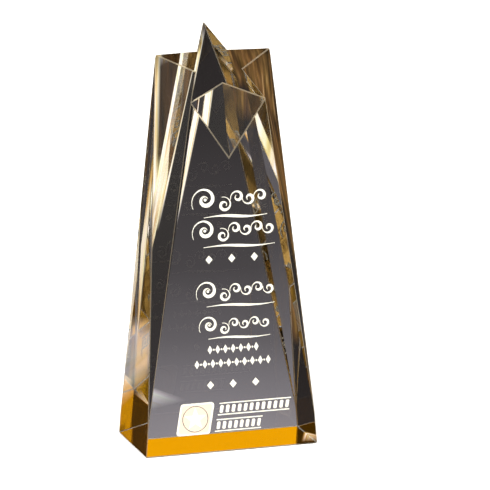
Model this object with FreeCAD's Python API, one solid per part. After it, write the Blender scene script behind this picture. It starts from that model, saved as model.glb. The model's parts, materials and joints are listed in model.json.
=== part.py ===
import FreeCAD, Part
import math
import os

# Star-topped pillar award: one solid block of clear cast acrylic on a gold mirror film.
# The block is a tapered rectangular pillar whose slanted top is cut to a five-pointed star.
# Five V grooves run down from the star's inner corners and fade out on the block's faces.
# Axes: X to the award's right, Y towards its back, Z up.  Units: mm.
# Origin: middle of the rest face, under the backing coat.

# ---- Driving dimensions ---------------------------------------------------------------
BASE_WIDTH = 86.0
BASE_DEPTH = 49.0
BLOCK_HEIGHT = 202.2          # base of the block to the rear star tip
SIDE_LEAN = 0.076             # how far each face leans in, per mm of height
FRONT_LEAN = 0.013
BACK_LEAN = 0.032
STAR_RISE = 0.785             # rise of the star face, per mm towards the back
STAR_INNER_RATIO = 0.41       # inner corner radius over tip radius
FRONT_TIP_SPREAD = 1.05       # the two front tips stand this much wider than a regular star's
FRONT_GROOVE_FOOT = 143.0     # height where the groove in the front panel fades out
CORNER_GROOVE_FOOT = 15.0     # the same for the grooves that end on the front corners
REAR_GROOVE_FOOT = 10.4       # and for those that end on the rear corners

FILM_THICKNESS = 0.25         # gold mirror film bonded under the block
COAT_THICKNESS = 0.15         # protective backing coat on the film's back
FILM_MARGIN = 0.6             # film and coat stop this far inside the block's edge

ENGRAVING_DEPTH = 0.25        # cut into the front panel and filled with enamel
FILL_CROWN = 0.06             # the dried enamel stands this proud of the panel

# Each engraved line: its left end, right end, middle height up the panel, and its own height.
SCROLL_LINES = {
    "title_scroll_upper": (-19.3, 18.7, 123.5, 15.5),
    "title_scroll_lower": (-19.2, 22.4, 108.5, 14.5),
    "name_scroll_upper": (-17.6, 22.0, 79.0, 13.5),
    "name_scroll_lower": (-16.3, 19.6, 62.4, 12.0),
}
BEAD_LINES = {
    "caption_beads_upper": (-12.5, 14.5, 50.3, 4.2),
    "caption_beads_lower": (-19.1, 20.5, 43.5, 4.2),
}
REED_LINES = {
    "reeds_upper": (-6.6, 29.4, 20.9, 5.6),
    "reeds_lower": (-8.2, 15.0, 12.9, 5.6),
}
DIAMOND_ROWS = {"diamonds_upper": 94.4, "diamonds_lower": 33.0}
DIAMOND_CENTRE = 0.8          # the rows' middle diamond, across the panel
DIAMOND_PITCH = 11.3
DIAMOND_WIDTH = 3.5
DIAMOND_HEIGHT = 4.1
EMBLEM_CENTRE = (-18.3, 16.9)
EMBLEM_WIDTH = 16.9
EMBLEM_HEIGHT = 15.6
EMBLEM_BORDER = 0.9
EMBLEM_CORNER = 1.6
EMBLEM_SLANT = 0.17           # how far the emblem and the reeds lean right, per mm of height
BADGE_RADIUS = 5.8            # of the star inside the emblem
BADGE_RING_RADIUS = 6.5
BADGE_RING_WIDTH = 0.4

BLOCK_BOTTOM = FILM_THICKNESS + COAT_THICKNESS
HALF_WIDTH = BASE_WIDTH / 2
HALF_DEPTH = BASE_DEPTH / 2
LARGE_VOLUTE = 0.47           # radius of a scroll line's large volute, over the line's height
SMALL_VOLUTE = 0.21           # and of its small ones
HEAVY_PEN = 0.12              # stroke width of the large volute, over the line's height
LIGHT_PEN = 0.09              # and of the other strokes
PEN_TIP = 0.25                # width that every stroke starts and ends at
RULE_WIDTH = 0.55             # of the lines above and below the reeds
STROKE_SAMPLES = 15           # points along each side of a scroll stroke, per turn
UP = FreeCAD.Vector(0, 0, 1)


# ---- The block ------------------------------------------------------------------------
def side_x(height):
    """Distance of a side face from the middle at this height in the block."""
    return HALF_WIDTH - SIDE_LEAN * height


def front_y(height):
    return -HALF_DEPTH + FRONT_LEAN * height


def back_y(height):
    return HALF_DEPTH - BACK_LEAN * height


def star_points():
    """Ten corners of the star face, by name: tips on the block's faces, inner corners between."""
    tip = {"rear": 90, "left": 162, "front_left": 234, "front_right": 306, "right": 18}
    inner = {"rear_left": 126, "left_front": 198, "front": 270, "right_front": 342, "rear_right": 54}
    lowest = -math.sin(math.radians(tip["front_left"]))
    rear_y = back_y(BLOCK_HEIGHT)
    reach = rear_y - front_y(BLOCK_HEIGHT)
    radius_y = reach / ((1 + lowest) * (1 - FRONT_LEAN * STAR_RISE))
    centre_y = rear_y - radius_y
    side_height = BLOCK_HEIGHT + STAR_RISE * radius_y * (math.sin(math.radians(tip["right"])) - 1)
    radius_x = side_x(side_height) / math.cos(math.radians(tip["right"]))

    def corner(angle, ratio, spread):
        x = spread * ratio * radius_x * math.cos(math.radians(angle))
        y = centre_y + ratio * radius_y * math.sin(math.radians(angle))
        return FreeCAD.Vector(x, y, BLOCK_HEIGHT + STAR_RISE * (y - rear_y))

    points = {}
    for name, angle in tip.items():
        points["tip_" + name] = corner(angle, 1, FRONT_TIP_SPREAD if "front" in name else 1)
    for name, angle in inner.items():
        points["inner_" + name] = corner(angle, STAR_INNER_RATIO, 1)
    return points


def block_points():
    """Every corner of the block, by name, with the block's base at height zero."""
    points = star_points()
    points["foot_front"] = FreeCAD.Vector(0, front_y(FRONT_GROOVE_FOOT), FRONT_GROOVE_FOOT)
    for side, sign in (("left", -1), ("right", 1)):
        low, high = CORNER_GROOVE_FOOT, REAR_GROOVE_FOOT
        points["foot_" + side + "_front"] = FreeCAD.Vector(sign * side_x(low), front_y(low), low)
        points["foot_rear_" + side] = FreeCAD.Vector(sign * side_x(high), back_y(high), high)
        points["base_front_" + side] = FreeCAD.Vector(sign * HALF_WIDTH, -HALF_DEPTH, 0)
        points["base_rear_" + side] = FreeCAD.Vector(sign * HALF_WIDTH, HALF_DEPTH, 0)
    return points


def block_faces():
    """Each flat face of the block as the names of its corners in order."""
    faces = [
        ["tip_rear", "inner_rear_left", "tip_left", "inner_left_front", "tip_front_left",
         "inner_front", "tip_front_right", "inner_right_front", "tip_right", "inner_rear_right"],
        ["base_front_left", "base_front_right", "base_rear_right", "base_rear_left"],
        ["base_front_left", "base_front_right", "foot_right_front", "tip_front_right",
         "foot_front", "tip_front_left", "foot_left_front"],
        ["base_rear_left", "base_rear_right", "foot_rear_right", "tip_rear", "foot_rear_left"],
        ["tip_front_left", "inner_front", "foot_front"],
        ["tip_front_right", "inner_front", "foot_front"],
    ]
    for side in ("left", "right"):
        faces.append(["tip_" + side, "foot_" + side + "_front", "base_front_" + side,
                      "base_rear_" + side, "foot_rear_" + side])
        for tip in ("tip_" + side, "tip_front_" + side):
            faces.append([tip, "inner_" + side + "_front", "foot_" + side + "_front"])
        for tip in ("tip_" + side, "tip_rear"):
            faces.append([tip, "inner_rear_" + side, "foot_rear_" + side])
    return faces


def make_block():
    points = block_points()
    faces = []
    for names in block_faces():
        corners = [points[name] for name in names]
        faces.append(Part.Face(Part.makePolygon(corners + corners[:1])))
    shell = Part.makeShell(faces)
    shell.sewShape()
    block = Part.Solid(shell)
    if block.Volume < 0:
        block.reverse()
    block.translate(FreeCAD.Vector(0, 0, BLOCK_BOTTOM))
    return block


def base_sheet(thickness, bottom):
    """A thin rectangular sheet under the block."""
    width = BASE_WIDTH - 2 * FILM_MARGIN
    depth = BASE_DEPTH - 2 * FILM_MARGIN
    return Part.makeBox(width, depth, thickness, FreeCAD.Vector(-width / 2, -depth / 2, bottom))


# ---- Ornament, drawn flat: x across the panel, y up it -----------------------------------
def polygon(corners):
    points = [FreeCAD.Vector(x, y, 0) for x, y in corners]
    return Part.Face(Part.makePolygon(points + points[:1]))


def diamond(x, y, width, height):
    return polygon([(x - width / 2, y), (x, y - height / 2), (x + width / 2, y), (x, y + height / 2)])


def disc(x, y, radius):
    circle = Part.Circle(FreeCAD.Vector(x, y, 0), UP, radius)
    return Part.Face(Part.Wire(circle.toShape()))


def slanted_box(x, y, width, height, slant, corner):
    """A parallelogram with rounded corners, leaning to the right by slant per unit of height."""
    lean = slant * height / 2
    outline = [(x - width / 2 - lean, y - height / 2), (x + width / 2 - lean, y - height / 2),
               (x + width / 2 + lean, y + height / 2), (x - width / 2 + lean, y + height / 2)]
    slab = polygon(outline).extrude(UP)
    upright = [edge for edge in slab.Edges
               if abs(edge.Vertexes[0].Point.z - edge.Vertexes[1].Point.z) > 0.5]
    rounded = slab.makeFillet(corner, upright)
    return [face for face in rounded.Faces if face.CenterOfMass.z < 0.01][0]


def star(x, y, radius):
    """A five-pointed star with straight sides."""
    corners = []
    for step in range(10):
        angle = math.radians(90 + 36 * step)
        reach = radius if step % 2 == 0 else radius * STAR_INNER_RATIO
        corners.append((x + reach * math.cos(angle), y + reach * math.sin(angle)))
    return polygon(corners)


def stroke(path, swell, tip, samples):
    """A pen stroke along path(t), t from 0 to 1: tip wide at its ends, swell wide in the middle."""
    left = []
    right = []
    for index in range(samples + 1):
        t = index / samples
        x, y = path(t)
        ahead_x, ahead_y = path(t + 1e-4)
        length = math.hypot(ahead_x - x, ahead_y - y)
        normal_x = -(ahead_y - y) / length
        normal_y = (ahead_x - x) / length
        half = (tip + (swell - tip) * math.sin(math.pi * t) ** 2) / 2
        left.append(FreeCAD.Vector(x + half * normal_x, y + half * normal_y, 0))
        right.append(FreeCAD.Vector(x - half * normal_x, y - half * normal_y, 0))
    sides = []
    for points in (left, right):
        curve = Part.BSplineCurve()
        curve.interpolate(points)
        sides.append(curve.toShape())
    ends = [Part.makeLine(left[0], right[0]), Part.makeLine(left[-1], right[-1])]
    return Part.Face(Part.Wire(Part.__sortEdges__(sides + ends)))


def volute(x, y, outer, inner, start, turns, swell, flip=1):
    """A spiral stroke about (x, y) whose radius shrinks evenly in ratio from outer to inner."""
    def path(t):
        radius = outer * (inner / outer) ** t
        angle = math.radians(start) + 2 * math.pi * turns * t
        return x + radius * math.cos(angle), y + flip * radius * math.sin(angle)

    return stroke(path, swell, PEN_TIP, max(8, round(STROKE_SAMPLES * abs(turns))))


def sweep_line(x_start, x_end, y, rise, swell, waves=0.5):
    """A stroke that runs along a line and swings above and below it in a sine."""
    def path(t):
        return x_start + (x_end - x_start) * t, y + rise * math.sin(2 * math.pi * waves * t)

    return stroke(path, swell, PEN_TIP, round(STROKE_SAMPLES * (1 + waves)))


def scroll_line(left, right, y, height):
    """A large double volute, then a running row of small ones that turn up and down by turns."""
    large = height * LARGE_VOLUTE
    small = height * SMALL_VOLUTE
    heavy = height * HEAVY_PEN
    light = height * LIGHT_PEN
    centre = left + large
    faces = [volute(centre, y, large, large * 0.17, 215, -1.55, heavy),
             disc(centre, y, large * 0.1),
             volute(centre + large * 1.3, y - large * 0.42, large * 0.55, large * 0.14, 110, -1.4, light),
             sweep_line(left + large * 0.9, right, y - height * 0.56, height * 0.035, light, 1.0)]
    first = left + 2.75 * large + small
    count = max(2, round((right - first) / (small * 1.8)))
    pitch = (right - small - first) / (count - 1)
    for index in range(count):
        flip = 1 if index % 2 == 0 else -1
        x = first + pitch * index
        faces.append(volute(x, y + flip * small * 0.15, small * 1.1, small * 0.3, 200, -1.2, light, flip))
    return faces


def bead_line(left, right, y, height):
    """A row of upright lozenges with a bead between each pair."""
    pitch = height * 0.95
    count = round((right - left) / pitch)
    step = (right - left) / count
    faces = []
    for index in range(count):
        x = left + step * (index + 0.5)
        faces.append(diamond(x, y, step * 0.6, height))
        if index:
            faces.append(disc(x - step / 2, y, step * 0.12))
    return faces


def reed_line(left, right, y, height):
    """A bold row of slanted reeds between two rules."""
    slant = EMBLEM_SLANT
    pitch = height * 0.52
    count = round((right - left) / pitch)
    step = (right - left) / count
    faces = []
    for index in range(count):
        x = left + step * (index + 0.5)
        faces.append(slanted_box(x, y, step * 0.56, height * 0.66, slant, step * 0.2))
    for level in (-0.5, 0.5):
        middle = (left + right) / 2 + slant * level * height
        faces.append(slanted_box(middle, y + level * height, right - left, RULE_WIDTH, slant, 0.2))
    return faces


def diamond_row(y):
    return [diamond(DIAMOND_CENTRE + DIAMOND_PITCH * place, y, DIAMOND_WIDTH, DIAMOND_HEIGHT)
            for place in (-1, 0, 1)]


def emblem():
    """A slanted plaque: its border, its ground round a star and a thin ring, and the star."""
    x, y = EMBLEM_CENTRE
    plaque = slanted_box(x, y, EMBLEM_WIDTH, EMBLEM_HEIGHT, EMBLEM_SLANT, EMBLEM_CORNER)
    core = slanted_box(x, y, EMBLEM_WIDTH - 2 * EMBLEM_BORDER, EMBLEM_HEIGHT - 2 * EMBLEM_BORDER,
                       EMBLEM_SLANT, EMBLEM_CORNER - EMBLEM_BORDER / 2)
    badge = star(x, y, BADGE_RADIUS)
    ring = disc(x, y, BADGE_RING_RADIUS).cut(disc(x, y, BADGE_RING_RADIUS - BADGE_RING_WIDTH))
    return {"emblem_frame": [plaque.cut(core)],
            "emblem_ground": [core.cut(badge).cut(ring)],
            "emblem_star": [badge]}


def engraving():
    """Every group of enamel-filled shapes on the front panel, as flat faces by node name."""
    shapes = {name: scroll_line(*line) for name, line in SCROLL_LINES.items()}
    shapes.update({name: bead_line(*line) for name, line in BEAD_LINES.items()})
    shapes.update({name: reed_line(*line) for name, line in REED_LINES.items()})
    shapes.update({name: diamond_row(y) for name, y in DIAMOND_ROWS.items()})
    shapes.update(emblem())
    return shapes


def onto_panel(faces, bottom, thickness):
    """Thicken flat faces from bottom to bottom + thickness above the panel, and lay them on it."""
    lean = math.degrees(math.atan(FRONT_LEAN))
    turn = FreeCAD.Rotation(FreeCAD.Vector(1, 0, 0), 90 - lean)
    slabs = []
    for face in faces:
        flat = face.copy()
        flat.translate(UP * bottom)
        slabs.extend(flat.extrude(UP * thickness).Solids)
    joined = slabs[0].multiFuse(slabs[1:]) if len(slabs) > 1 else slabs[0]
    joined.Placement = FreeCAD.Placement(FreeCAD.Vector(0, -HALF_DEPTH, BLOCK_BOTTOM), turn)
    return joined


def make_nodes():
    nodes = {}
    block = make_block()
    for name, faces in engraving().items():
        nodes[name] = onto_panel(faces, -ENGRAVING_DEPTH, ENGRAVING_DEPTH + FILL_CROWN)
        block = block.cut(onto_panel(faces, -ENGRAVING_DEPTH, 2 * ENGRAVING_DEPTH))
    nodes["star_pillar"] = block.Solids[0]
    nodes["gold_mirror_film"] = base_sheet(FILM_THICKNESS, COAT_THICKNESS)
    nodes["backing_coat"] = base_sheet(COAT_THICKNESS, 0)
    return nodes


def main():
    os.makedirs("parts", exist_ok=True)
    for name, shape in make_nodes().items():
        shape.exportStep("parts/" + name + ".step")
        print(name, "solids", len(shape.Solids), "valid", shape.isValid(), "volume", round(shape.Volume, 2))


main()
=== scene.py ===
"""Looks of a star-topped award pillar of clear cast acrylic, built around its CAD frame.

The block is one polished piece with V grooves that run down from the star's inner corners.
Its engraved front is filled with enamel, and a gold mirror film under its base lights it.
"""
import json
import math

import bmesh
import bpy
import numpy as np
from bpy.props import FloatProperty, FloatVectorProperty, PointerProperty
from bpy.types import Operator, Panel, PropertyGroup
from mathutils import Matrix, Vector


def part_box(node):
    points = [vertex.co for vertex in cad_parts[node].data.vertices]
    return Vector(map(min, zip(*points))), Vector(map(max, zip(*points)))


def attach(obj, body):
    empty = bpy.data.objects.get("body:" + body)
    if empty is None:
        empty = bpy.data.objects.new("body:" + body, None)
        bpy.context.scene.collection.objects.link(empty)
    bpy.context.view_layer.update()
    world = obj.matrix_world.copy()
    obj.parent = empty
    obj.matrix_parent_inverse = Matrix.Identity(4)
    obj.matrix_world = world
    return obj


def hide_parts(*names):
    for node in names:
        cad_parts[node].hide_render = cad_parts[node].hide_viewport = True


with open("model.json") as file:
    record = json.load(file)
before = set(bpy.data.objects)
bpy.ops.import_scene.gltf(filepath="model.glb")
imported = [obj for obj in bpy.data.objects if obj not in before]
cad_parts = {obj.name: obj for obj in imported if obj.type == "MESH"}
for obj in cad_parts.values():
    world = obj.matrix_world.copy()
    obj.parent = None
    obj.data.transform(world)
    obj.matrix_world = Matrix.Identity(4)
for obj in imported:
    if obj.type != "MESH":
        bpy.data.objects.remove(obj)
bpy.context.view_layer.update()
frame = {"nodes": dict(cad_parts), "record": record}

bl_info = {
    "name": "Star Pillar Award",
    "version": (1, 0, 0),
    "blender": (4, 5, 0),
    "location": "3D View > Sidebar > Award",
    "description": "Gives a clear acrylic star pillar award its polished block, film and enamel",
    "category": "Object",
}

MM = 0.001
BLOCK_LOW, BLOCK_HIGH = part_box("star_pillar")
ENAMEL_SLOTS = {
    row["node"]: row["material_slot"]
    for row in frame["record"]["subparts"]
    if "enamel" in row["material_slot"]
}
ACRYLIC_IOR = 1.49

BLACK = (0.0, 0.0, 0.0)
WHITE = (1.0, 1.0, 1.0)
# Sockets of a Mix node that blends colours.
MIX_A, MIX_B, MIX_RESULT = 6, 7, 2

# Brightness of the studio's low and high bands of light by bearing, in order round it.
LOW_BAND = (
    (-92, 0.4), (-130, 0.9), (-150, 0.6), (-165, 0.3), (178, 0.1), (158, 0.1), (150, 0.6),
    (120, 0.5), (108, 0.2), (90, 0.6), (45, 0.6), (36, 0.3), (32, 0.1), (27, 0.2), (22, 1.28),
    (10, 1.28), (5, 0.1), (-22, 0.03), (-28, 0.4), (-45, 0.6), (-70, 0.3), (-88, 0.4),
)
HIGH_BAND = (
    (-92, 0.5), (-130, 0.6), (-150, 0.5), (-175, 0.5), (160, 1.0), (144, 1.1), (138, 0.05),
    (122, 0.05), (116, 1.1), (68, 1.1), (50, 0.5), (30, 0.1), (15, 0.15), (0, 0.9), (-20, 0.9),
    (-35, 0.5), (-70, 0.35), (-88, 0.5),
)
BAND_TINT = (1.0, 0.98, 0.94)
# How steeply a direction rises where the bands fade in, change over and fade out.
BANDS_START = (0.08, 0.13)
BANDS_CHANGE = (0.40, 0.48)
BANDS_END = (0.80, 0.88)

FLOOR_HALF_WIDTH = 4.0
FLOOR_ROUGHNESS = 0.12
# Brightness of the painted sheen on the floor that the block shows, brightest at the award, at
# shares of the distance over which it fades, in metres.
SHEEN_FADE = 0.7
SHEEN = ((0.0, 1.0), (0.14, 0.66), (0.28, 0.4), (0.5, 0.2), (1.0, 0.1))

# Glowing strips of painted light round the award, most on the floor and some up at the block, which
# only reflections and refractions show, in millimetres: the two ends, the bearing that the width
# runs along, the width at each end, and the finish.
CARDS = {
    "groove_card": ((-22, 70, 0.5), (-130, 310, 0.5), 66, 60, 80, "white_glow"),
    "right_card": ((52, -28, 0.5), (300, -115, 0.5), 200, 26, 30, "pale_gold_glow"),
    "front_right_card": ((80, -36, 0.5), (184, -130, 0.5), 222, 16, 18, "pale_gold_glow"),
    "left_card": ((-60, 16, 0.5), (-145, 39, 0.5), 15, 30, 30, "pale_gold_glow"),
    "rear_left_card": ((-217, 125, 0.5), (-433, 250, 0.5), 30, 40, 40, "brown_gold_glow"),
    "front_left_card": ((-110, -77, 0.5), (-290, -203, 0.5), 145, 26, 34, "pale_gold_glow"),
    "front_card": ((-40, -118, 0.5), (-71, -295, 0.5), 100, 14, 18, "pale_gold_glow"),
    "side_card": ((40, -20, 0.5), (78, 122, 0.5), 105, 9, 9, "pale_gold_glow"),
    "deep_card": ((36, 290, 0.5), (34, 380, 0.5), 89, 22, 24, "brown_gold_glow"),
    "far_right_card": ((145, 85, 0.5), (196, 121, 0.5), 152, 16, 18, "brown_gold_glow"),
    "edge_card": ((29, 54, 29), (29, 54, 68), 17, 30, 24, "brown_gold_glow"),
    # The next four stand up in the block's arms: painted light seen in the arms, and one dark brown
    # strip that paints a streak of shade.
    "arm_glow_strip": ((-21, 24, 99), (-13, 13, 196), 58, 8, 40, "bright_gold_glow"),
    "arm_shade_strip": ((-20, 20, 121), (-15, 10, 198), 58, 1, 28, "dark_brown_glow"),
    "right_arm_glow_strip": ((38, 18, 70), (28, 10, 160), 122, 2, 10, "brown_gold_glow"),
    "right_tip_glow_strip": ((23, 15, 150), (19, 10, 193), 122, 18, 24, "brown_gold_glow"),
}
# Colours of the painted light in each glowing strip, as ramp stops over its streaks.
CARD_TINTS = {
    "white_glow": ((0.25, "F0D49A"), (0.45, "FFFFFF"), (0.7, "FFFFFF")),
    "pale_gold_glow": ((0.3, "7A5E34"), (0.42, "D9A85C"), (0.52, "FFF3D0"), (0.7, "FFFFFF")),
    "bright_gold_glow": ((0.3, "A87F45"), (0.42, "F3D79C"), (0.52, "FFF8E4"), (0.7, "FFFFFF")),
    "brown_gold_glow": ((0.3, "2A1C12"), (0.5, "5A4227"), (0.62, "80623A"), (0.75, "E0C490")),
    "dark_brown_glow": ((0.35, "20150C"), (0.7, "4C371F")),
}
# Painted streaks of light over a strip's width and length, and how far they vary its brightness.
STREAKS_ACROSS = 9.0
STREAKS_ALONG = 1.5
SHIMMER = 0.45
SHIMMER_BASE = 0.78
CARD_GLOW = 1.3
# Shares of a strip's width and length over which its edges fade out.
SIDE_FADE = 0.12
END_FADE = 0.2

# Soft lamps: place, width and height in metres, and power in watts.
LAMPS = {
    "key_lamp": ((-1.1, -1.5, 1.5), 0.9, 0.9, 75),
    "fill_lamp": ((1.3, -1.3, 1.4), 0.9, 0.9, 50),
    "rear_lamp": ((0.3, 1.9, 1.7), 1.2, 0.8, 40),
}
LAMP_AIM = (0.0, 0.0, 0.1)

# The view: degrees from -Y towards +X, above the floor and of roll, metres, and a lens in mm.
VIEW_AZIMUTH = -17.05
VIEW_ELEVATION = 12.65
VIEW_ROLL = -0.4
VIEW_DISTANCE = 1.974
VIEW_AIM = (0.014, -0.002, 0.0957)
VIEW_LENS = 301.0

# The block folds light many times before it leaves.
MOST_BOUNCES = 20
MOST_REFLECTIONS = 12


def linear(sheet_colour):
    """Linear RGB of an sRGB hex colour such as "E8A030"."""
    parts = np.array([int(sheet_colour[i:i + 2], 16) for i in (0, 2, 4)]) / 255
    return tuple(np.where(parts <= 0.04045, parts / 12.92, ((parts + 0.055) / 1.055) ** 2.4))


# ---- Settings -----------------------------------------------------------------------------
def size(name, description, default):
    """A length setting whose default is given in metres."""
    return FloatProperty(name=name, description=description, default=default, min=0.0,
                         subtype="DISTANCE", unit="LENGTH", precision=5)


def ratio(name, description, default):
    """A plain number setting."""
    return FloatProperty(name=name, description=description, default=default, precision=4)


def colour(name, description, default):
    """A colour setting whose default is given as an sRGB hex value."""
    return FloatVectorProperty(name=name, description=description, default=linear(default),
                               subtype="COLOR", size=3, min=0.0, max=1.0)


class AwardBlock(PropertyGroup):
    """Driving sizes of the star pillar block."""
    side_lean: ratio("Side lean", "How far each side leans in, per unit of height", 0.076)
    front_lean: ratio("Front lean", "How far the front leans back, per unit of height", 0.013)
    back_lean: ratio("Back lean", "How far the back leans forward, per unit of height", 0.032)
    star_rise: ratio("Star rise", "Rise of the star face towards the back", 0.785)
    star_inner: ratio("Star inner ratio", "Inner corner radius over tip radius", 0.41)
    tip_spread: ratio("Front tip spread", "Width of the two front tips over a regular star's", 1.05)
    front_foot: size("Front groove foot", "Height where the front groove fades out", 143.0 * MM)
    corner_foot: size("Corner groove foot", "Height where the front corners' grooves end", 15.0 * MM)
    rear_foot: size("Rear groove foot", "Height where the rear grooves end", 10.4 * MM)
    arris: size("Arris", "Width of the ground bevel on every outer edge", 0.36 * MM)
    bond: size("Bond", "How far the film's top sits in the block's underside", 0.05 * MM)


class AwardFinish(PropertyGroup):
    """Colours of the award's materials."""
    acrylic: colour("Acrylic", "Body tint of the clear cast acrylic", "FCFBF8")
    arris: colour("Arris", "Finely ground edges of the block", "F7E6C4")
    gold: colour("Gold", "Face of the gold mirror film", "CFA966")
    gold_edge: colour("Gold at a slant", "The same film seen along its face", "FCC448")
    coat: colour("Backing coat", "Protective paint under the film", "2B2622")
    cream: colour("Cream enamel", "Fill of the engraved ornament", "FFFAE8")
    peach: colour("Peach enamel", "Ground of the emblem", "FCE4C6")


class AwardStage(PropertyGroup):
    """Colours of the floor and of the studio that the block shows, with the floor's painted sheen
    and painted glow.
    """
    floor: colour("Floor", "Pale studio floor", "F6F5F2")
    # For the block's rays only: a painted sheen on the floor near the award, and a faint painted
    # glow of the dark, shaded floor away from it.
    painted_floor_sheen: colour("Painted floor sheen", "What the block shows of the floor close by", "898791")
    painted_floor_glow: colour("Painted floor glow", "What the block shows of the floor away from the light", "17120E")
    gloom: colour("Dark surround", "What the block shows of the unlit studio", "231F1C")


# ---- Meshes -------------------------------------------------------------------------------
def block_corners(block):
    """The block's 19 corners as an array of points, in metres.

    0 to 9 are the star's, tip and inner corner by turns, at 90 degrees + 36 for each step:
    x = spread * r * R_x * cos(a), y = y_c + r * R_y * sin(a), where r is 1 at a tip, and the
    star face rises with y. R_y fits the star between the block's leaning front and back, and
    R_x its side tips to the leaning sides. 10 to 14 are the feet of the five grooves, and 15
    to 18 the base's corners.
    """
    half_width, half_depth = BLOCK_HIGH.x, BLOCK_HIGH.y
    height = BLOCK_HIGH.z - BLOCK_LOW.z

    def side_x(z):
        return half_width - block.side_lean * z

    def front_y(z):
        return -half_depth + block.front_lean * z

    def back_y(z):
        return half_depth - block.back_lean * z

    step = np.arange(10)
    angle = np.radians(90 + 36 * step)
    reach = np.where(step % 2 == 0, 1.0, block.star_inner)
    spread = np.where(np.isin(step, (4, 6)), block.tip_spread, 1.0)
    rear_y = back_y(height)
    front_shift = 1 - block.front_lean * block.star_rise
    radius_y = (rear_y - front_y(height)) / ((1 - np.sin(angle[4])) * front_shift)
    side_height = height + block.star_rise * radius_y * (np.sin(angle[8]) - 1)
    radius_x = side_x(side_height) / np.cos(angle[8])
    star_y = rear_y + radius_y * (reach * np.sin(angle) - 1)
    star = np.column_stack((spread * reach * radius_x * np.cos(angle), star_y,
                            height + block.star_rise * (star_y - rear_y)))

    foot_z = np.array([block.rear_foot, block.corner_foot, block.front_foot,
                       block.corner_foot, block.rear_foot])
    at_back = np.array([True, False, False, False, True])
    feet = np.column_stack((np.array([-1, -1, 0, 1, 1]) * side_x(foot_z),
                            np.where(at_back, back_y(foot_z), front_y(foot_z)), foot_z))
    base = np.column_stack((half_width * np.array([-1, 1, 1, -1]),
                            half_depth * np.array([-1, -1, 1, 1]), np.zeros(4)))
    points = np.vstack((star, feet, base))
    points[:, 2] += BLOCK_LOW.z
    points[15:, 2] -= block.bond
    return points


def block_faces():
    """The block's flat faces as lists of corner numbers, in the order of block_corners."""
    front_left, front_right, rear_right, rear_left = 15, 16, 17, 18
    faces = [list(range(10)), [front_left, front_right, rear_right, rear_left],
             [0, 10, rear_left, rear_right, 14],
             [2, 11, front_left, rear_left, 10],
             [8, 14, rear_right, front_right, 13],
             [4, 12, 6, 13, front_right, front_left, 11]]
    for groove in range(5):
        tip, inner, next_tip = 2 * groove, 2 * groove + 1, (2 * groove + 2) % 10
        faces.append([tip, inner, 10 + groove])
        faces.append([inner, next_tip, 10 + groove])
    return faces


def polished_mesh(name, points, faces):
    """A closed mesh with outward faces whose outer edges are marked for a bevel."""
    mesh = bpy.data.meshes.new(name)
    mesh.from_pydata(points.tolist(), [], faces)
    shell = bmesh.new()
    shell.from_mesh(mesh)
    bmesh.ops.recalc_face_normals(shell, faces=shell.faces)
    weight = shell.edges.layers.float.new("bevel_weight_edge")
    for edge in shell.edges:
        edge[weight] = 1.0 if edge.is_convex else 0.0
    shell.to_mesh(mesh)
    shell.free()
    return mesh


# ---- Materials ----------------------------------------------------------------------------
def rgba(tint):
    return (*tint, 1.0)


def add(tree, kind, inputs=None, stops=(), **settings):
    """Add one node with its inputs' values or links, a colour ramp's stops and its settings."""
    node = tree.nodes.new("ShaderNode" + kind)
    for name, value in settings.items():
        setattr(node, name, value)
    for socket, value in (inputs or {}).items():
        if isinstance(value, bpy.types.NodeSocket):
            tree.links.new(value, node.inputs[socket])
        else:
            node.inputs[socket].default_value = value
    if stops:
        elements = node.color_ramp.elements
        while len(elements) < len(stops):
            elements.new(0.5)
        for element, (position, tint) in zip(elements, stops):
            element.position = position
            element.color = rgba(tint)
    return node


def material(name):
    """A node material and its empty tree."""
    made = bpy.data.materials.new(name)
    made.use_nodes = True
    made.node_tree.nodes.clear()
    return made, made.node_tree


def cast_acrylic(finish):
    """Cell-cast acrylic, flame-clear and buffed: sharp refraction, with faint buffing haze."""
    made, tree = material("polished_cast_acrylic")
    place = add(tree, "TexCoord").outputs["Object"]
    haze = add(tree, "TexNoise", {"Vector": place, "Scale": 1 / (14 * MM), "Detail": 3.0})
    rough = add(tree, "MapRange", {"Value": haze.outputs["Fac"], "From Min": 0.35,
                                   "From Max": 0.75, "To Min": 0.0, "To Max": 0.03})
    body = add(tree, "BsdfPrincipled", {"Base Color": rgba(finish.acrylic), "IOR": ACRYLIC_IOR,
                                        "Transmission Weight": 1.0,
                                        "Roughness": rough.outputs["Result"]})
    add(tree, "OutputMaterial", {"Surface": body.outputs["BSDF"]})
    return made


def ground_arris(finish):
    """Acrylic edges left from the fine grinding wheel: a thin cream line where faces meet."""
    made, tree = material("ground_acrylic_arris")
    place = add(tree, "TexCoord").outputs["Object"]
    grit = add(tree, "TexNoise", {"Vector": place, "Scale": 1 / (3 * MM), "Detail": 3.0})
    rough = add(tree, "MapRange", {"Value": grit.outputs["Fac"], "To Min": 0.2, "To Max": 0.4})
    body = add(tree, "BsdfPrincipled", {"Base Color": rgba(finish.arris), "IOR": ACRYLIC_IOR,
                                        "Transmission Weight": 0.88,
                                        "Roughness": rough.outputs["Result"]})
    add(tree, "OutputMaterial", {"Surface": body.outputs["BSDF"]})
    return made


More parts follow.
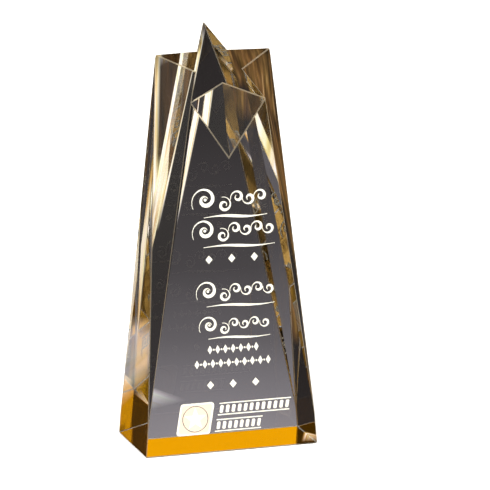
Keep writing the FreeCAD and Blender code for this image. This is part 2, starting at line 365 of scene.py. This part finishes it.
def gold_mirror(finish):
    """Metallised gold film: mirror bright, with the slight ripple of a hand-laid foil."""
    made, tree = material("gold_mirror_film")
    place = add(tree, "TexCoord").outputs["Object"]
    ripple = add(tree, "TexNoise", {"Vector": place, "Scale": 1 / (9 * MM), "Detail": 2.0})
    bump = add(tree, "Bump", {"Height": ripple.outputs["Fac"], "Strength": 0.25,
                              "Distance": 0.1 * MM})
    rough = add(tree, "MapRange", {"Value": ripple.outputs["Fac"], "To Min": 0.03,
                                   "To Max": 0.16})
    body = add(tree, "BsdfPrincipled", {"Base Color": rgba(finish.gold), "Metallic": 1.0,
                                        "Specular Tint": rgba(finish.gold_edge),
                                        "Roughness": rough.outputs["Result"],
                                        "Normal": bump.outputs["Normal"]})
    add(tree, "OutputMaterial", {"Surface": body.outputs["BSDF"]})
    return made


def backing_paint(finish):
    """Sprayed protective paint: dark and matt with a fine orange peel."""
    made, tree = material("sprayed_backing_paint")
    place = add(tree, "TexCoord").outputs["Object"]
    peel = add(tree, "TexNoise", {"Vector": place, "Scale": 1 / (1.2 * MM), "Detail": 4.0})
    bump = add(tree, "Bump", {"Height": peel.outputs["Fac"], "Strength": 0.4,
                              "Distance": 0.05 * MM})
    rough = add(tree, "MapRange", {"Value": peel.outputs["Fac"], "To Min": 0.55,
                                   "To Max": 0.75})
    body = add(tree, "BsdfPrincipled", {"Base Color": rgba(finish.coat),
                                        "Roughness": rough.outputs["Result"],
                                        "Normal": bump.outputs["Normal"]})
    add(tree, "OutputMaterial", {"Surface": body.outputs["BSDF"]})
    return made


def filled_enamel(name, paint):
    """Air-dried enamel wiped into the engraving: satin, with a fine grain from the cut bed."""
    made, tree = material(name)
    place = add(tree, "TexCoord").outputs["Object"]
    grain = add(tree, "TexNoise", {"Vector": place, "Scale": 1 / (0.6 * MM), "Detail": 5.0})
    shade = add(tree, "MapRange", {"Value": grain.outputs["Fac"], "From Min": 0.3,
                                   "From Max": 0.7, "To Min": 0.9, "To Max": 1.0})
    tone = add(tree, "VectorMath", {0: paint, 1: shade.outputs["Result"]}, operation="MULTIPLY")
    rough = add(tree, "MapRange", {"Value": grain.outputs["Fac"], "To Min": 0.35,
                                   "To Max": 0.6})
    bump = add(tree, "Bump", {"Height": grain.outputs["Fac"], "Strength": 0.3,
                              "Distance": 0.03 * MM})
    body = add(tree, "BsdfPrincipled", {"Base Color": tone.outputs["Vector"],
                                        "Roughness": rough.outputs["Result"],
                                        "Normal": bump.outputs["Normal"]})
    add(tree, "OutputMaterial", {"Surface": body.outputs["BSDF"]})
    return made


def give(obj, *finishes):
    """Set a piece's finishes. Its faces show the first, and a bevel may take the second."""
    obj.data.materials.clear()
    for finish in finishes:
        obj.data.materials.append(finish)


# ---- Stage --------------------------------------------------------------------------------
def window(start, full, last, end):
    """Ramp stops that rise from black to white, stay white, and fall to black again."""
    return [(start, BLACK), (full, WHITE), (last, WHITE), (end, BLACK)]


def seen_or_lit(tree, output, seen, lit):
    """End a tree in a shader for the camera's own rays and another for all others."""
    path = add(tree, "LightPath").outputs["Is Camera Ray"]
    mix = add(tree, "MixShader", {0: path, 1: lit, 2: seen})
    add(tree, output, {"Surface": mix.outputs[0]})


def gradient_place(bearing):
    """Where a bearing from +Y towards +X falls on a radial gradient, from 0 to 1."""
    return ((90 - bearing) / 360 + 0.5) % 1.0


def light_band(tree, turn, band, gloom):
    """Colour of a band of light by bearing, laid over the dark surround."""
    stops = [(gradient_place(bearing), shine * np.array(BAND_TINT) + gloom)
             for bearing, shine in band]
    return add(tree, "ValToRGB", {"Fac": turn}, stops).outputs["Color"]


def studio_world(stage):
    """A pale surround for the eye, and a dark studio with bands of light for the block."""
    world = bpy.data.worlds.new("studio")
    world.use_nodes = True
    tree = world.node_tree
    tree.nodes.clear()
    direction = add(tree, "TexCoord").outputs["Generated"]
    rise = add(tree, "SeparateXYZ", {"Vector": direction}).outputs["Z"]
    turn = add(tree, "TexGradient", {"Vector": direction}, gradient_type="RADIAL").outputs["Fac"]
    gloom = np.array(stage.gloom)
    low = light_band(tree, turn, LOW_BAND, gloom)
    high = light_band(tree, turn, HIGH_BAND, gloom)
    change = add(tree, "ValToRGB", {"Fac": rise}, list(zip(BANDS_CHANGE, (BLACK, WHITE))))
    bands = add(tree, "Mix", {"Factor": change.outputs["Color"], MIX_A: low, MIX_B: high},
                data_type="RGBA").outputs[MIX_RESULT]
    within = add(tree, "ValToRGB", {"Fac": rise}, window(*BANDS_START, *BANDS_END))
    glow = add(tree, "Mix", {"Factor": within.outputs["Color"], MIX_A: rgba(gloom),
                             MIX_B: bands}, data_type="RGBA").outputs[MIX_RESULT]
    seen = add(tree, "Background", {"Color": rgba(stage.floor)})
    lit = add(tree, "Background", {"Color": glow})
    seen_or_lit(tree, "OutputWorld", seen.outputs[0], lit.outputs[0])
    bpy.context.scene.world = world


def floor_finish(stage):
    """A pale floor for the eye. The block shows a dark one with painted shade, a painted sheen near
    the award that fades away from it, and a faint painted glow.
    """
    made, tree = material("floor")
    place = add(tree, "TexCoord").outputs["Object"]
    away = add(tree, "VectorMath", {0: place}, operation="LENGTH").outputs["Value"]
    reach = add(tree, "MapRange", {"Value": away, "From Max": SHEEN_FADE}).outputs["Result"]
    # Painted light and shade for the block's rays: a glossy painted sheen, brighter near the award,
    # over a faint painted glow.
    shades = [(share, shine * np.array(stage.painted_floor_sheen)) for share, shine in SHEEN]
    shade = add(tree, "ValToRGB", {"Fac": reach}, shades).outputs["Color"]
    seen = add(tree, "BsdfDiffuse", {"Color": rgba(stage.floor)})
    sheen = add(tree, "BsdfGlossy", {"Color": shade, "Roughness": FLOOR_ROUGHNESS})
    painted_floor_glow = add(tree, "Emission", {"Color": rgba(stage.painted_floor_glow)})
    lit = add(tree, "AddShader", {0: sheen.outputs[0], 1: painted_floor_glow.outputs[0]})
    seen_or_lit(tree, "OutputMaterial", seen.outputs[0], lit.outputs[0])
    return made


def studio_floor(stage):
    """Lay one flat square under the award."""
    half = FLOOR_HALF_WIDTH
    mesh = bpy.data.meshes.new("floor")
    mesh.from_pydata([(-half, -half, 0), (half, -half, 0), (half, half, 0), (-half, half, 0)],
                     [], [(0, 1, 2, 3)])
    floor = bpy.data.objects.new("floor", mesh)
    bpy.context.scene.collection.objects.link(floor)
    give(floor, floor_finish(stage))


def glow_strip_finish(name, tints):
    """A glowing strip of painted light: painted streaks along its length, fading out at its edges.
    """
    made, tree = material(name)
    place = add(tree, "TexCoord").outputs["UV"]
    drawn = add(tree, "Mapping", {"Vector": place, "Scale": (STREAKS_ACROSS, STREAKS_ALONG, 1)})
    streak = add(tree, "TexNoise", {"Vector": drawn.outputs["Vector"], "Scale": 1.0,
                                    "Detail": 2.0})
    stops = [(position, linear(shade)) for position, shade in tints]
    tint = add(tree, "ValToRGB", {"Fac": streak.outputs["Fac"]}, stops)
    shimmer = add(tree, "VectorMath", {0: streak.outputs["Color"], 1: (SHIMMER,) * 3,
                                       2: (SHIMMER_BASE,) * 3}, operation="MULTIPLY_ADD")
    tone = add(tree, "VectorMath", {0: tint.outputs["Color"], 1: shimmer.outputs["Vector"]},
               operation="MULTIPLY")
    glow = add(tree, "Emission", {"Color": tone.outputs["Vector"], "Strength": CARD_GLOW})
    sides = add(tree, "SeparateXYZ", {"Vector": place}).outputs
    across, along = (add(tree, "ValToRGB", {"Fac": sides[axis]}, window(0, fade, 1 - fade, 1))
                     for axis, fade in (("X", SIDE_FADE), ("Y", END_FADE)))
    solid = add(tree, "Math", {0: across.outputs["Color"], 1: along.outputs["Color"]},
                operation="MULTIPLY")
    clear = add(tree, "BsdfTransparent")
    faded = add(tree, "MixShader", {0: solid.outputs[0], 1: clear.outputs[0],
                                    2: glow.outputs[0]})
    add(tree, "OutputMaterial", {"Surface": faded.outputs[0]})
    return made


def set_glow_strips():
    """Set the glowing strips of painted light round the award, where only reflections and
    refractions show them.
    """
    finishes = {name: glow_strip_finish(name, tints) for name, tints in CARD_TINTS.items()}
    for name, (start, end, bearing, start_width, end_width, finish) in CARDS.items():
        turn = math.radians(bearing)
        half_across = np.array((math.sin(turn), math.cos(turn), 0)) / 2
        corners = np.array((start - half_across * start_width, start + half_across * start_width,
                            end + half_across * end_width, end - half_across * end_width)) * MM
        mesh = bpy.data.meshes.new(name)
        mesh.from_pydata(corners.tolist(), [], [(0, 1, 2, 3)])
        mesh.uv_layers.new(name="along").data.foreach_set("uv", (0, 0, 1, 0, 1, 1, 0, 1))
        card = bpy.data.objects.new(name, mesh)
        bpy.context.scene.collection.objects.link(card)
        card.visible_camera = False
        card.visible_diffuse = False
        card.visible_shadow = False
        give(card, finishes[finish])


def soft_lamp(name, place, width, height, power):
    """A soft rectangular lamp that faces the award and shows in no reflection."""
    lamp = bpy.data.lights.new(name, "AREA")
    lamp.shape = "RECTANGLE"
    lamp.size = width
    lamp.size_y = height
    lamp.energy = power
    facing = (Vector(LAMP_AIM) - Vector(place)).to_track_quat("-Z", "Y").to_matrix().to_4x4()
    holder = bpy.data.objects.new(name, lamp)
    holder.matrix_world = Matrix.Translation(place) @ facing
    holder.visible_camera = False
    holder.visible_glossy = False
    holder.visible_transmission = False
    bpy.context.scene.collection.objects.link(holder)


def camera():
    """A long lens a little above the award and to its left."""
    turn = math.radians(VIEW_AZIMUTH)
    lift = math.radians(VIEW_ELEVATION)
    back = Vector((math.sin(turn) * math.cos(lift), -math.cos(turn) * math.cos(lift),
                   math.sin(lift)))
    facing = (-back).to_track_quat("-Z", "Y").to_matrix().to_4x4()
    roll = Matrix.Rotation(math.radians(VIEW_ROLL), 4, "Z")
    data = bpy.data.cameras.new("camera")
    data.lens = VIEW_LENS
    holder = bpy.data.objects.new("camera", data)
    holder.matrix_world = (Matrix.Translation(Vector(VIEW_AIM) + back * VIEW_DISTANCE)
                           @ facing @ roll)
    bpy.context.scene.collection.objects.link(holder)
    bpy.context.scene.camera = holder


# ---- Operators ----------------------------------------------------------------------------
class AWARD_OT_star_pillar(Operator):
    """Build the polished acrylic block with its star, grooves and bevelled edges"""
    bl_idname = "award.star_pillar"
    bl_label = "Star pillar"

    def execute(self, context):
        block = context.scene.award_block
        mesh = polished_mesh("polished_pillar", block_corners(block), block_faces())
        pillar = bpy.data.objects.new("polished_pillar", mesh)
        context.scene.collection.objects.link(pillar)
        arris = pillar.modifiers.new("arris", "BEVEL")
        arris.limit_method = "WEIGHT"
        arris.width = block.arris
        arris.segments = 3
        arris.use_clamp_overlap = False
        finish = context.scene.award_finish
        give(pillar, cast_acrylic(finish), ground_arris(finish))
        arris.material = 1
        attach(pillar, "root")
        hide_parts("star_pillar")
        return {"FINISHED"}


class AWARD_OT_base_film(Operator):
    """Finish the gold mirror film and the backing coat under the block"""
    bl_idname = "award.base_film"
    bl_label = "Base film"

    def execute(self, context):
        finish = context.scene.award_finish
        give(frame["nodes"]["gold_mirror_film"], gold_mirror(finish))
        give(frame["nodes"]["backing_coat"], backing_paint(finish))
        return {"FINISHED"}


class AWARD_OT_enamel(Operator):
    """Finish the enamel that fills the engraved ornament and emblem"""
    bl_idname = "award.enamel"
    bl_label = "Enamel fill"

    def execute(self, context):
        finish = context.scene.award_finish
        paints = {"cream_enamel": filled_enamel("cream_enamel", finish.cream),
                  "peach_enamel": filled_enamel("peach_enamel", finish.peach)}
        for node, slot in ENAMEL_SLOTS.items():
            give(frame["nodes"][node], paints[slot])
        return {"FINISHED"}


class AWARD_OT_stage(Operator):
    """Set up the surround, the floor, the glowing strips of painted light, the lamps and the camera
    """
    bl_idname = "award.stage"
    bl_label = "Stage"

    def execute(self, context):
        stage = context.scene.award_stage
        studio_world(stage)
        studio_floor(stage)
        set_glow_strips()
        for name, (place, width, height, power) in LAMPS.items():
            soft_lamp(name, place, width, height, power)
        camera()
        context.scene.view_settings.view_transform = "Standard"
        context.scene.cycles.max_bounces = MOST_BOUNCES
        context.scene.cycles.transmission_bounces = MOST_BOUNCES
        context.scene.cycles.glossy_bounces = MOST_REFLECTIONS
        return {"FINISHED"}


class AWARD_PT_panel(Panel):
    """Lists the award's settings and its building steps"""
    bl_idname = "AWARD_PT_panel"
    bl_label = "Star Pillar Award"
    bl_space_type = "VIEW_3D"
    bl_region_type = "UI"
    bl_category = "Award"

    def draw(self, context):
        for step in STEPS:
            self.layout.operator(step.bl_idname)
        for name in SETTINGS:
            group = getattr(context.scene, name)
            box = self.layout.box()
            for field in group.__annotations__:
                box.prop(group, field)


STEPS = (AWARD_OT_star_pillar, AWARD_OT_base_film, AWARD_OT_enamel, AWARD_OT_stage)
SETTINGS = {"award_block": AwardBlock, "award_finish": AwardFinish, "award_stage": AwardStage}
CLASSES = (*SETTINGS.values(), *STEPS, AWARD_PT_panel)


def register():
    for item in CLASSES:
        bpy.utils.register_class(item)
    for name, group in SETTINGS.items():
        setattr(bpy.types.Scene, name, PointerProperty(type=group))


def unregister():
    for name in SETTINGS:
        delattr(bpy.types.Scene, name)
    for item in reversed(CLASSES):
        bpy.utils.unregister_class(item)


def main():
    register()
    bpy.ops.award.star_pillar()
    bpy.ops.award.base_film()
    bpy.ops.award.enamel()
    bpy.ops.award.stage()


if __name__ == "__main__":
    main()
